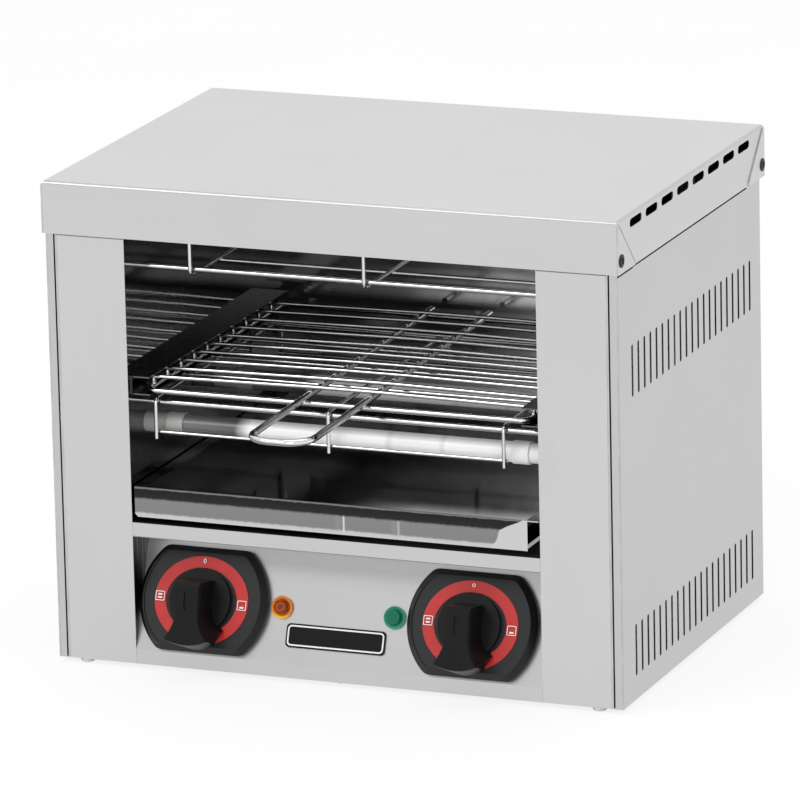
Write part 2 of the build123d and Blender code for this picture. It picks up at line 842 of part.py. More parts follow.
for level, centre_x, rod_z, leg_way in (
    ("lower", lower_guard_x, lower_rod_z, -1),
    ("upper", upper_guard_x, upper_rod_z, 1),
):
    finish(guard_wires(centre_x, rod_z, leg_way), f"{level}_guard_wires")
    finish(guard_rods(rod_z), f"{level}_guard_rods")
    finish(guard_cross_rods(centre_x, rod_z, leg_way), f"{level}_guard_cross_rods")


def quartz_tube(y, z):
    """Make one open quartz tube."""
    with BuildPart() as tube:
        rod((-tube_end_x, y, z), (tube_end_x, y, z), tube_diameter)
        rod((-tube_end_x, y, z), (tube_end_x, y, z), tube_bore, mode=Mode.SUBTRACT)
    return tube.part


def ceramic_ends(z):
    """Make the four ceramic ends of one pair of tubes: a sleeve through the wall and a collar on the tube."""
    with BuildPart() as ends:
        for y in tube_y:
            for side in (-1, 1):
                rod((side * collar_x, y, z), (side * sleeve_x, y, z), collar_diameter)
                rod((side * collar_x, y, z), (side * sleeve_x, y, z), tube_diameter + fit_gap * 2,
                    mode=Mode.SUBTRACT)
                rod((side * sleeve_x, y, z), (side * sleeve_end_x, y, z), sleeve_diameter)
                rod((side * sleeve_x, y, z), (side * sleeve_end_x, y, z), pin_diameter + fit_gap * 2,
                    mode=Mode.SUBTRACT)
    return ends.part


def heating_coils(z):
    """Make the wound wires of one pair of tubes as plain rods, with a thin pin through both ceramic ends."""
    coil_end_x = collar_x
    pin_end_x = sleeve_end_x + pin_length
    with BuildPart() as coils:
        for y in tube_y:
            rod((-coil_end_x, y, z), (coil_end_x, y, z), coil_diameter)
            rod((-pin_end_x, y, z), (pin_end_x, y, z), pin_diameter)
    return coils.part


for level, z in (("lower", lower_tube_z), ("upper", upper_tube_z)):
    for place, y in zip(("front", "rear"), tube_y):
        finish(quartz_tube(y, z), f"{level}_{place}_quartz_tube")
    finish(ceramic_ends(z), f"{level}_ceramic_ends")
    finish(heating_coils(z), f"{level}_heating_coils")

# Crumb tray: a pan with a flange on each side and an apron in front
with BuildPart() as crumb_tray:
    tray_low = (-tray_half_width, tray_front_y, tray_floor_z)
    slab(tray_low, (tray_half_width, tray_back_y, tray_rim_z))
    slab((-tray_half_width + sheet, tray_front_y + sheet, tray_floor_z + sheet),
         (tray_half_width - sheet, tray_back_y - sheet, tray_rim_z), mode=Mode.SUBTRACT)
    for side in (-1, 1):
        slab((side * tray_half_width, tray_front_y, tray_rim_z - sheet),
             (side * tray_rim_half_width, tray_back_y, tray_rim_z))
    with BuildSketch(Plane.XZ.offset(-tray_front_y)):
        with BuildLine():
            Polyline(
                (-tray_rim_half_width, tray_rim_z),
                (-tray_rim_half_width, tray_rim_z - tray_apron + tray_bevel),
                (-tray_rim_half_width + tray_bevel, tray_rim_z - tray_apron),
                (tray_half_width, tray_rim_z - tray_apron),
                (tray_half_width, tray_rim_z),
                close=True,
            )
        make_face()
    extrude(amount=-sheet)
finish(crumb_tray.part, "crumb_tray")

# Terminal block and the wiring looms that run from it to the tube ends
with BuildPart() as terminal_block:
    half = terminal_width / 2
    slab((terminal_x - half, terminal_y - terminal_depth / 2, base_top_z),
         (terminal_x + half, terminal_y + terminal_depth / 2, base_top_z + terminal_height))
    way_pitch = terminal_width / terminal_ways
    with BuildSketch(Plane.XY.offset(base_top_z + terminal_height)):
        with Locations(*[(terminal_x + (i - 1) * way_pitch, terminal_y) for i in range(terminal_ways)]):
            Circle(terminal_hole / 2)
    extrude(amount=-terminal_height / 2, mode=Mode.SUBTRACT)
finish(terminal_block.part, "terminal_block")


def wiring_loom(side):
    """Make one loom from the terminal block through an inner wall and up behind the tube ends."""
    with BuildPart() as loom:
        bent_wire(
            [
                (terminal_x + side * terminal_width / 2, terminal_y, loom_z),
                (side * loom_x, terminal_y, loom_z),
                (side * loom_x, terminal_y, roof_z - loom_top_below_roof),
            ],
            loom_diameter,
            loom_bend,
        )
    return loom.part


finish(wiring_loom(-1), "left_wiring_loom")
finish(wiring_loom(1), "right_wiring_loom")
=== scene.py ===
"""Looks of the one-tier toaster: materials, light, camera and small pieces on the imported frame."""
import math

import bmesh
import bpy
from mathutils import Matrix, Vector


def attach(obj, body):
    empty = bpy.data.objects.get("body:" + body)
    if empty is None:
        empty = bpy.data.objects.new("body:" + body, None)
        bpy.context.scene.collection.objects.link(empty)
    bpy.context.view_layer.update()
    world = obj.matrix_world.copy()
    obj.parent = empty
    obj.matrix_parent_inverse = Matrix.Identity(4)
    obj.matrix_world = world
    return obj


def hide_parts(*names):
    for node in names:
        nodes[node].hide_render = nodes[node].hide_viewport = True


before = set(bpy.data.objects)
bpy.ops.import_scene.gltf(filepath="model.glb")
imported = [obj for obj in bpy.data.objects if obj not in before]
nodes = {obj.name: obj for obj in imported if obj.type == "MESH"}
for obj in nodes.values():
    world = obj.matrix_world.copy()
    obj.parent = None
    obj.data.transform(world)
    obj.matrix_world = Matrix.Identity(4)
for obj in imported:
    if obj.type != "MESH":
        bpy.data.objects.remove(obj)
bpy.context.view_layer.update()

MM = 0.001

# Places on the control panel, in millimetres, as the CAD model has them
PANEL_SLOPE = math.radians(20.5)
PANEL_FRONT_Y = -100.45
PANEL_BEND_Z = 14.2
KNOB_X = (-107.0, 100.9)
KNOB_UP = 38.8
BEZEL_HEIGHT = 9.4
PLATE_X = -3.5
PLATE_UP = 20.4
PLATE_HEIGHT = 1.0
LAMP_X = (-47.2, 40.0)
LAMP_UP = 39.8
LAMP_HEIGHT = 2.0
LENS_RADIUS = 8.4


def axes_matrix(x_way, y_way, z_way, origin):
    """Return the placement whose axes point three ways from an origin."""
    matrix = Matrix((x_way, y_way, z_way)).transposed().to_4x4()
    matrix.translation = origin
    return matrix


def on_panel(x, up, height):
    """Return the point over the sloping panel, in metres."""
    y = PANEL_FRONT_Y + up * math.sin(PANEL_SLOPE) - height * math.cos(PANEL_SLOPE)
    z = PANEL_BEND_Z + up * math.cos(PANEL_SLOPE) + height * math.sin(PANEL_SLOPE)
    return Vector((x, y, z)) * MM


def panel_matrix(x, up, height):
    """Return the placement of a piece on the panel: X across, Y up the slope and Z out of it."""
    across = Vector((1, 0, 0))
    up_way = Vector((0, math.sin(PANEL_SLOPE), math.cos(PANEL_SLOPE)))
    out = Vector((0, -math.cos(PANEL_SLOPE), math.sin(PANEL_SLOPE)))
    return axes_matrix(across, up_way, out, on_panel(x, up, height))


# Node helpers. A value is a number, a colour or the socket that gives it.

EVEN = (1, 1, 1)


def new_material(name):
    """Return a new node material with its tree and its main shader."""
    material = bpy.data.materials.new(name)
    material.use_nodes = True
    tree = material.node_tree
    return material, tree, tree.nodes["Principled BSDF"]


def give(tree, socket, value):
    """Set a socket to a number or a colour, or link another socket to it."""
    if isinstance(value, (int, float)):
        socket.default_value = value
    elif isinstance(value, tuple):
        socket.default_value = (*value, 1)
    else:
        tree.links.new(value, socket)


def feed(tree, shader, values):
    """Give the named sockets of a shader their values."""
    for name, value in values.items():
        give(tree, shader.inputs[name], value)


def object_place(tree):
    """Return the place on the part, in metres."""
    return tree.nodes.new("ShaderNodeTexCoord").outputs["Object"]


def place_on(tree, axis):
    """Return the place on the part along one axis, in metres."""
    split = tree.nodes.new("ShaderNodeSeparateXYZ")
    tree.links.new(object_place(tree), split.inputs["Vector"])
    return split.outputs[axis]


def coordinates(tree, scale=EVEN):
    """Return the place on the part, stretched by a scale for each axis."""
    mapping = tree.nodes.new("ShaderNodeMapping")
    mapping.inputs["Scale"].default_value = scale
    tree.links.new(object_place(tree), mapping.inputs["Vector"])
    return mapping.outputs["Vector"]


def noise(tree, vector, scale, detail=2.0, rough=0.5):
    """Return a noise texture's value."""
    texture = tree.nodes.new("ShaderNodeTexNoise")
    feed(tree, texture, {"Scale": scale, "Detail": detail, "Roughness": rough, "Vector": vector})
    return texture.outputs["Fac"]


def ramp(tree, factor, stops):
    """Return a colour ramp over the factor. Each stop is a place and a grey level or a colour."""
    node = tree.nodes.new("ShaderNodeValToRGB")
    elements = node.color_ramp.elements
    while len(elements) < len(stops):
        elements.new(0.5)
    for element, (place, colour) in zip(elements, stops):
        element.position = place
        if isinstance(colour, (int, float)):
            colour = (colour, colour, colour)
        element.color = (*colour, 1)
    tree.links.new(factor, node.inputs["Fac"])
    return node.outputs["Color"]


def math_node(tree, operation, first, second=0.0):
    """Return the result of a math node."""
    node = tree.nodes.new("ShaderNodeMath")
    node.operation = operation
    for socket, value in zip(node.inputs, (first, second)):
        give(tree, socket, value)
    return node.outputs["Value"]


def times(tree, first, second):
    """Return the product of two values."""
    return math_node(tree, "MULTIPLY", first, second)


def rest_of(tree, value):
    """Return what a value lacks of 1."""
    return math_node(tree, "SUBTRACT", 1.0, value)


def raised(tree, base, factor, amount):
    """Return the base plus the factor times an amount."""
    return math_node(tree, "ADD", base, times(tree, factor, amount))


def uneven(tree, value, grain, amount):
    """Return the value, moved both ways by a noise."""
    return raised(tree, value, math_node(tree, "SUBTRACT", grain, 0.5), amount)


def share(tree, value, low, high):
    """Return how far a value lies between two limits, kept from 0 to 1."""
    moved = math_node(tree, "SUBTRACT", value, low)
    scaled = math_node(tree, "DIVIDE", moved, high - low)
    return math_node(tree, "MINIMUM", math_node(tree, "MAXIMUM", scaled, 0.0), 1.0)


def streak(tree, across, centre, half):
    """Return a soft upright line that is 1 at its centre and 0 at its edges."""
    away = math_node(tree, "ABSOLUTE", math_node(tree, "SUBTRACT", across, centre))
    return rest_of(tree, share(tree, away, 0.0, half))


def mix_colour(tree, factor, first, second, blend="MIX"):
    """Return a mix of two colours."""
    node = tree.nodes.new("ShaderNodeMix")
    node.data_type = "RGBA"
    node.blend_type = blend
    for name, value in (("Factor_Float", factor), ("A_Color", first), ("B_Color", second)):
        give(tree, next(item for item in node.inputs if item.identifier == name), value)
    return next(item for item in node.outputs if item.identifier == "Result_Color")


def add_bump(tree, shader, height, strength, distance):
    """Give the shader a bump from the height."""
    bump = tree.nodes.new("ShaderNodeBump")
    feed(tree, bump, {"Strength": strength, "Distance": distance, "Height": height})
    tree.links.new(bump.outputs["Normal"], shader.inputs["Normal"])


def shaded(colour, factor):
    """Return the colour times the factor."""
    return tuple(min(1.0, value * factor) for value in colour)


def mottled(tree, factor, colour, spread):
    """Return the colour, made darker and lighter by a spread as the factor goes up."""
    return ramp(tree, factor, [(0.3, shaded(colour, 1 - spread)), (0.7, shaded(colour, 1 + spread))])


def polish_marks(tree, stretch=(30, 160, 30)):
    """Return the fine wipe marks and the slow swell of polished sheet, as two noise values."""
    wipe = noise(tree, coordinates(tree, stretch), 1.0, detail=3.0, rough=0.6)
    swell = noise(tree, coordinates(tree), 14.0, detail=1.0, rough=0.4)
    return wipe, swell


# Materials

SWELL_DEPTH = 0.004


def brushed(name, colour, rough, grain, spread=0.012):
    """Make brushed sheet steel. The grain gives the stretch of the lines along each axis."""
    material, tree, shader = new_material(name)
    lines = noise(tree, coordinates(tree, grain), 1.0, detail=3.0, rough=0.6)
    clouds = noise(tree, coordinates(tree), 9.0)
    patch = ramp(tree, clouds, [(0.35, 0.975), (0.65, 1.0)])
    tint = mix_colour(tree, 1.0, mottled(tree, lines, colour, spread), patch, "MULTIPLY")
    roughness = raised(tree, raised(tree, rough - 0.05, lines, 0.06), clouds, 0.04)
    feed(tree, shader, {"Base Color": tint, "Roughness": roughness, "Metallic": 1.0})
    add_bump(tree, shader, lines, strength=0.06, distance=0.00003)
    return material


def polished(name, colour, rough, spread, waves):
    """Make bright rolled or plated steel, with faint wipe marks and a very slight waviness."""
    material, tree, shader = new_material(name)
    wipe, swell = polish_marks(tree)
    tint = mottled(tree, wipe, colour, spread)
    roughness = raised(tree, rough, wipe, rough * 0.7)
    feed(tree, shader, {"Base Color": tint, "Roughness": roughness, "Metallic": 1.0})
    add_bump(tree, shader, swell, strength=waves, distance=SWELL_DEPTH)
    return material


def plastic(name, colour, rough, grain, strength, spread=0.12, specular=0.5):
    """Make moulded plastic or paint with a fine grain, and with faint clouds in tint and gloss."""
    material, tree, shader = new_material(name)
    pores = noise(tree, coordinates(tree), grain, rough=0.6)
    clouds = noise(tree, coordinates(tree), 40.0)
    tint = mottled(tree, clouds, colour, spread)
    roughness = raised(tree, rough - 0.06, clouds, 0.12)
    feed(tree, shader, {"Base Color": tint, "Roughness": roughness, "Specular IOR Level": specular})
    add_bump(tree, shader, pores, strength=strength, distance=0.00006)
    return material


# The tray's apron: its heights in metres, its bands of painted reflection by the share of its height, its
# painted highlight streaks as place across, half width, strength and level, and where its light right end,
# also painted reflection, starts by the share of height
APRON_LOW = 0.1137
APRON_HIGH = 0.1362
APRON_REFLECTION_BANDS = (
    (0.0, 0.60), (0.12, 0.55), (0.15, 0.34), (0.19, 0.235), (0.58, 0.245), (0.62, 0.16), (0.66, 0.032),
    (0.93, 0.024), (0.955, 0.20), (1.0, 0.17),
)
APRON_HIGHLIGHT_STREAKS = (
    (0.0025, 0.0040, 0.30, 0.36), (0.0068, 0.0011, 0.95, 0.78), (0.0452, 0.0030, 0.35, 0.36),
    (0.0488, 0.0017, 0.80, 0.50),
)
APRON_LIT_END = (
    (0.0, 0.1175), (0.12, 0.1205), (0.30, 0.1232), (0.60, 0.1250), (0.75, 0.1310), (0.93, 0.1405),
    (1.0, 0.1430),
)
APRON_LIT_END_BLEND = 0.0012


def apron():
    """Make the bright apron in painted reflection: a dark upper band, a grey band, a light lower edge, light
    streaks and a light right end.
    """
    material, tree, shader = new_material("tray_apron")
    across = place_on(tree, "X")
    up = share(tree, place_on(tree, "Z"), APRON_LOW, APRON_HIGH)
    waves = noise(tree, coordinates(tree, (260, 1, 40)), 1.0, detail=1.0, rough=0.4)
    tint = ramp(tree, uneven(tree, up, waves, 0.06), APRON_REFLECTION_BANDS)
    middle = times(tree, share(tree, up, 0.06, 0.12), rest_of(tree, share(tree, up, 0.58, 0.64)))
    # Painted highlight streaks over the apron's middle band
    for centre, half, strength, level in APRON_HIGHLIGHT_STREAKS:
        mask = times(tree, times(tree, streak(tree, across, centre, half), middle), strength)
        tint = mix_colour(tree, mask, tint, (level, level, level))
    # Painted light on the apron's right end
    past_edge = math_node(tree, "SUBTRACT", across, ramp(tree, up, APRON_LIT_END))
    tint = mix_colour(tree, share(tree, past_edge, 0.0, APRON_LIT_END_BLEND), tint, (0.60, 0.60, 0.60))
    feed(tree, shader, {"Base Color": tint, "Metallic": 1.0, "Roughness": 0.16})
    return material


# Where the painted sheen on the tray's floor fades in, in metres: rightwards, backwards, and by height
PAINTED_SHEEN_X = (-0.030, 0.035)
PAINTED_SHEEN_Y = (-0.036, -0.006)
PAINTED_SHEEN_LOW_Z = (0.1150, 0.1155)
PAINTED_SHEEN_HIGH_Z = (0.1190, 0.1180)


def tray_pan():
    """Make the pan of the tray: mirror steel darkened as painted shade, with a painted sheen on the right of
    its floor that also glows.
    """
    material, tree, shader = new_material("tray_steel")
    wipe, swell = polish_marks(tree, (20, 90, 20))
    dark = ramp(tree, wipe, [(0.3, 0.16), (0.7, 0.20)])
    near = rest_of(tree, share(tree, place_on(tree, "Y"), *PAINTED_SHEEN_Y))
    side = times(tree, share(tree, place_on(tree, "X"), *PAINTED_SHEEN_X), near)
    height = place_on(tree, "Z")
    on_floor = times(tree, share(tree, height, *PAINTED_SHEEN_LOW_Z), share(tree, height, *PAINTED_SHEEN_HIGH_Z))
    painted_sheen = times(tree, side, on_floor)
    # The painted sheen lightens the colour and glows as painted light, though the tray is no lamp
    feed(tree, shader, {
        "Base Color": mix_colour(tree, times(tree, painted_sheen, 0.85), dark, (0.62, 0.62, 0.62)),
        "Emission Color": times(tree, painted_sheen, painted_sheen), "Emission Strength": 0.34,
        "Metallic": 1.0, "Roughness": 0.07,
    })
    add_bump(tree, shader, swell, strength=0.06, distance=SWELL_DEPTH)
    return material


# Height below which an inner wall is the cheek beside the control panel, where painted reflection streaks
# lie, in metres
CHEEK_TOP_Z = 0.0985


def wall_steel():
    """Make the mirror steel of the inner walls, with dark painted reflection streaks beside the control
    panel.
    """
    material, tree, shader = new_material("wall_steel")
    wipe, swell = polish_marks(tree)
    plain = ramp(tree, wipe, [(0.3, 0.24), (0.7, 0.29)])
    # Painted reflection: dark upright streaks on the cheek beside the control panel
    lines = noise(tree, coordinates(tree, (1, 330, 2)), 1.0, detail=1.0, rough=0.4)
    cheek_reflection = ramp(tree, lines, [(0.40, 0.03), (0.52, 0.05), (0.60, 0.16), (0.68, 0.04)])
    below = math_node(tree, "LESS_THAN", place_on(tree, "Z"), CHEEK_TOP_Z)
    feed(tree, shader, {
        "Base Color": mix_colour(tree, below, plain, cheek_reflection), "Roughness": raised(tree, 0.06, below, 0.34),
        "Metallic": 1.0,
    })
    add_bump(tree, shader, swell, strength=0.08, distance=SWELL_DEPTH)
    return material


# Half width over which the cavity's back changes, in metres, and its painted reflection tint and painted
# glow from left to right
REAR_HALF = 0.16
REAR_REFLECTION_TINT = ((0.0, 0.13), (0.40, 0.17), (0.62, 0.40), (0.80, 0.76), (1.0, 0.80))
REAR_PAINTED_GLOW = ((0.50, 0.02), (0.66, 0.30), (0.78, 0.95), (1.0, 1.0))


def rear_steel():
    """Make the mirror steel of the cavity's back, lighter towards its right with painted reflection and a
    painted glow.
    """
    material, tree, shader = new_material("rear_steel")
    wipe, swell = polish_marks(tree)
    across = share(tree, uneven(tree, place_on(tree, "X"), wipe, 0.05), -REAR_HALF, REAR_HALF)
    feed(tree, shader, {
        "Base Color": ramp(tree, across, REAR_REFLECTION_TINT), "Emission Color": ramp(tree, across, REAR_PAINTED_GLOW),
        "Emission Strength": 0.17, "Metallic": 1.0, "Roughness": 0.13,
    })
    add_bump(tree, shader, swell, strength=0.08, distance=SWELL_DEPTH)
    return material


# Place leftwards along a tube that counts as 1, in metres, and the tube's painted shadow bands as place and
# half width
TUBE_LEFT_X = -0.14
TUBE_SHADOW_BANDS = ((0.033, 0.004), (0.074, 0.003))


def quartz():
    """Make the frosted tube: grey at its left, before the wound wire inside starts, then bright white with a
    faint painted glow, crossed by painted shadow bands.
    """
    material, tree, shader = new_material("quartz_frosted")
    across = place_on(tree, "X")
    haze = noise(tree, coordinates(tree, (14, 60, 60)), 1.0)
    leftwards = uneven(tree, math_node(tree, "DIVIDE", across, TUBE_LEFT_X), haze, 0.05)
    grey = (0.085, 0.087, 0.09)
    tint = ramp(tree, leftwards, [(0.53, (0.80, 0.80, 0.79)), (0.61, grey), (0.90, (0.14, 0.14, 0.143))])
    # Painted shadow bands across the white part
    shadow_bands = math_node(tree, "ADD", *(streak(tree, across, *mark) for mark in TUBE_SHADOW_BANDS))
    # The white part glows faintly as painted light
    feed(tree, shader, {
        "Base Color": mix_colour(tree, times(tree, shadow_bands, 0.22), tint, grey),
        "Emission Color": ramp(tree, leftwards, [(0.53, 1.0), (0.61, 0.05)]), "Emission Strength": 0.06,
        "Roughness": 0.32, "Coat Weight": 0.3, "Coat Roughness": 0.12,
    })
    add_bump(tree, shader, haze, strength=0.08, distance=0.0003)
    return material


def ceramic():
    """Make glazed ceramic with faint specks, painted grey as shade at the tubes' left ends and white at
    their right.
    """
    material, tree, shader = new_material("ceramic_glazed")
    specks = noise(tree, coordinates(tree), 900.0, rough=0.6)
    grey = ramp(tree, specks, [
        (0.30, (0.29, 0.287, 0.283)), (0.45, (0.36, 0.357, 0.350)), (1.0, (0.40, 0.397, 0.390))])
    # Painted shade: the left ends are grey, the right ends keep the white glaze
    on_right = math_node(tree, "GREATER_THAN", place_on(tree, "X"), 0.0)
    tint = mix_colour(tree, times(tree, on_right, 0.92), grey, (0.88, 0.88, 0.87))
    feed(tree, shader, {"Base Color": tint, "Roughness": 0.42})
    add_bump(tree, shader, specks, strength=0.1, distance=0.00008)
    return material


def lens(name, centre, radius, stops, glow, low_rim_highlight_colour):
    """Make a coloured lamp lens whose tint changes from its middle to its rim in rings of painted
    reflection, with a painted highlight on its low rim.
    """
    material, tree, shader = new_material(name)
    offset = tree.nodes.new("ShaderNodeVectorMath")
    offset.operation = "DISTANCE"
    offset.inputs[1].default_value = centre
    tree.links.new(object_place(tree), offset.inputs[0])
    flecks = noise(tree, coordinates(tree), 420.0, rough=0.6)
    away = uneven(tree, math_node(tree, "DIVIDE", offset.outputs["Value"], radius), flecks, 0.22)
    down = share(tree, place_on(tree, "Z"), centre.z - radius * 0.35, centre.z - radius * 0.95)
    # Painted highlight on the lens's lower rim
    low_rim_highlight = times(tree, down, share(tree, away, 0.62, 0.85))
    tint = mix_colour(tree, times(tree, low_rim_highlight, 0.75), ramp(tree, away, stops), low_rim_highlight_colour)
    feed(tree, shader, {
        "Base Color": tint, "Emission Color": tint, "Emission Strength": glow, "Roughness": 0.14,
        "Specular IOR Level": 0.22, "Coat Weight": 0.10, "Coat Roughness": 0.05,
    })
    add_bump(tree, shader, flecks, strength=0.1, distance=0.0002)
    return material


def banded(name, bands, scale, dark, light, strength, values):
    """Make a material with fine bands across it, for wound wire or a weave."""
    material, tree, shader = new_material(name)
    wave = tree.nodes.new("ShaderNodeTexWave")
    wave.bands_direction = bands
    feed(tree, wave, {"Scale": scale, "Vector": object_place(tree)})
    tint = ramp(tree, wave.outputs["Fac"], [(0.2, dark), (0.8, light)])
    feed(tree, shader, {"Base Color": tint, **values})
    add_bump(tree, shader, wave.outputs["Fac"], strength=strength, distance=0.0004)
    return material


# Way of the light whose painted reflection the wire's tint follows
WIRE_LIGHT_WAY = (0.45, -0.35, 0.82)


def chrome_wire():
    """Make the chromed wire with a painted reflection: its round sides carry a dark line beside the light
    one.
    """
    material, tree, shader = new_material("chrome_wire")
    source = tree.nodes.new("ShaderNodeTexCoord")
    turn = tree.nodes.new("ShaderNodeVectorMath")
    turn.operation = "DOT_PRODUCT"
    turn.inputs[1].default_value = WIRE_LIGHT_WAY
    tree.links.new(source.outputs["Normal"], turn.inputs[0])
    facing_light = raised(tree, 0.5, turn.outputs["Value"], 0.5)
    tint = ramp(tree, facing_light, [
        (0.0, 0.42), (0.36, 0.36), (0.46, 0.17), (0.56, 0.19), (0.66, 0.62), (0.84, 0.84), (1.0, 0.62)])
    feed(tree, shader, {"Base Color": tint, "Metallic": 1.0, "Roughness": 0.08})
    return material


def paint_light_under_fold(material, low, high, amount):
    """Make a metal lighter between two heights with painted light, where a fold above it would leave it in
    shade.
    """
    tree = material.node_tree
    shader = next(node for node in tree.nodes if node.type == "BSDF_PRINCIPLED")
    plain = shader.inputs["Base Color"].links[0].from_socket
    up = share(tree, place_on(tree, "Z"), low, high)
    tint = mix_colour(tree, times(tree, up, amount), plain, (0.90, 0.90, 0.90))
    tree.links.new(tint, shader.inputs["Base Color"])


# Stretch of the brushed lines where they run along X, Y or Z, and where there is no grain
ALONG_X = (12, 900, 900)
ALONG_Y = (900, 12, 900)
ALONG_Z = (900, 900, 12)
NO_GRAIN = (60, 60, 60)

lid_steel = brushed("lid_steel", (0.63, 0.63, 0.628), 0.34, ALONG_X)
# The lid's top gets a lighter copy of the lid's steel as painted light, and its bends a darker copy as
# painted shade
lid_top_lit_steel = brushed("lid_top_lit_steel", (0.71, 0.71, 0.708), 0.34, ALONG_X)
bend_shaded_steel = brushed("bend_shaded_steel", (0.50, 0.50, 0.50), 0.42, ALONG_X)
front_steel = brushed("front_steel", (0.60, 0.60, 0.598), 0.34, ALONG_X)
# The panel's slope gets a darker copy of the front's steel, as painted dark reflection
panel_shaded_steel = brushed("panel_shaded_steel", (0.46, 0.46, 0.459), 0.38, ALONG_X)
# Painted light on the panel's top, against the shade under the nose
paint_light_under_fold(panel_shaded_steel, 0.078, 0.097, 0.75)
side_steel = brushed("side_steel", (0.565, 0.565, 0.563), 0.34, ALONG_Y)
post_steel = brushed("post_steel", (0.625, 0.625, 0.623), 0.33, ALONG_Z)
back_steel = brushed("back_steel", (0.60, 0.60, 0.598), 0.36, ALONG_X)
base_steel = brushed("base_steel", (0.42, 0.42, 0.42), 0.42, ALONG_X)
# Near-black steel, painted shade on faces that lie in the casing's shadow
shade_black_steel = brushed("shade_black_steel", (0.045, 0.045, 0.047), 0.60, NO_GRAIN, spread=0.2)
cavity_steel = polished("cavity_steel", (0.20, 0.20, 0.204), 0.05, 0.12, 0.08)
runner_steel = polished("runner_steel", (0.13, 0.13, 0.133), 0.12, 0.08, 0.05)
plated = polished("plated_steel", (0.55, 0.55, 0.54), 0.22, 0.05, 0.05)
inner_steel = wall_steel()
back_mirror = rear_steel()
tray_steel = tray_pan()
apron_reflection_steel = apron()
chrome = chrome_wire()

bezel_black = plastic("bezel_black", (0.011, 0.0118, 0.0125), 0.50, 2400.0, 0.25, specular=0.36)
# The bezels' sides get a darker copy of their black plastic, as painted shade
bezel_side_shaded_black = plastic("bezel_side_shaded_black", (0.008, 0.0086, 0.0092), 0.42, 2400.0, 0.20, specular=0.27)
knob_black = plastic(
    "knob_black", (0.0040, 0.0043, 0.0047), 0.34, 2400.0, 0.14, spread=0.10, specular=0.20)
ring_red = plastic("ring_red", (0.50, 0.024, 0.022), 0.36, 1600.0, 0.08, spread=0.10, specular=0.40)
mark_white = plastic("mark_white", (0.80, 0.79, 0.77), 0.45, 1600.0, 0.05, spread=0.03)
plate_black = plastic("plate_black", (0.006, 0.006, 0.007), 0.32, 1200.0, 0.05, spread=0.06, specular=0.14)
# Grey for the seam lines and for the painted shadow lines over the posts
seam_and_shadow_grey = plastic("seam_and_shadow_grey", (0.20, 0.20, 0.20), 0.60, 1800.0, 0.05)
tab_grey = plastic("tab_grey", (0.36, 0.36, 0.36), 0.60, 1800.0, 0.05)
# Grey for the painted shade along the bends
bend_shade_grey = plastic("bend_shade_grey", (0.43, 0.43, 0.43), 0.55, 1800.0, 0.05)
# Near-black for the painted shadows under the lid's skirt
skirt_shadow_black = plastic("skirt_shadow_black", (0.012, 0.012, 0.012), 0.80, 1800.0, 0.05, specular=0.1)
screw_black = plastic("screw_black", (0.006, 0.006, 0.0065), 0.40, 1800.0, 0.20, specular=0.3)
foot_grey = plastic("foot_grey", (0.60, 0.60, 0.60), 0.55, 1800.0, 0.20)
switch_grey = plastic("switch_grey", (0.14, 0.14, 0.14), 0.50, 1400.0, 0.20)
terminal_white = plastic("terminal_white", (0.66, 0.66, 0.62), 0.45, 1400.0, 0.15)

quartz_white = quartz()
ceramic_grey = ceramic()
coil_dark = banded("coil_wire", "X", 260.0, (0.05, 0.048, 0.045), (0.24, 0.23, 0.21), 0.6, {
    "Metallic": 1.0, "Roughness": 0.45})
sleeve_cloth = banded("woven_sleeve", "DIAGONAL", 300.0, (0.36, 0.33, 0.27), (0.62, 0.59, 0.52), 0.5, {
    "Roughness": 0.85, "Sheen Weight": 0.3})
# Each lens's stops are rings of painted reflection, and its last colour is the painted highlight on its low
# rim
amber = lens("amber_lens", on_panel(LAMP_X[0], LAMP_UP, LAMP_HEIGHT), LENS_RADIUS * MM, [
    (0.10, (0.72, 0.19, 0.005)), (0.26, (0.55, 0.10, 0.004)), (0.36, (0.14, 0.016, 0.003)),
    (0.48, (0.36, 0.06, 0.004)), (0.62, (0.10, 0.011, 0.003)), (0.76, (0.42, 0.09, 0.005)),
    (0.90, (0.70, 0.22, 0.010)), (1.0, (0.30, 0.06, 0.004))], 0.14, (0.88, 0.50, 0.03))
green = lens("green_lens", on_panel(LAMP_X[1], LAMP_UP, LAMP_HEIGHT), LENS_RADIUS * MM, [
    (0.10, (0.006, 0.130, 0.076)), (0.50, (0.006, 0.118, 0.068)), (0.70, (0.007, 0.140, 0.084)),
    (0.85, (0.016, 0.190, 0.118)), (1.0, (0.030, 0.250, 0.160))], 0.10, (0.03, 0.27, 0.17))

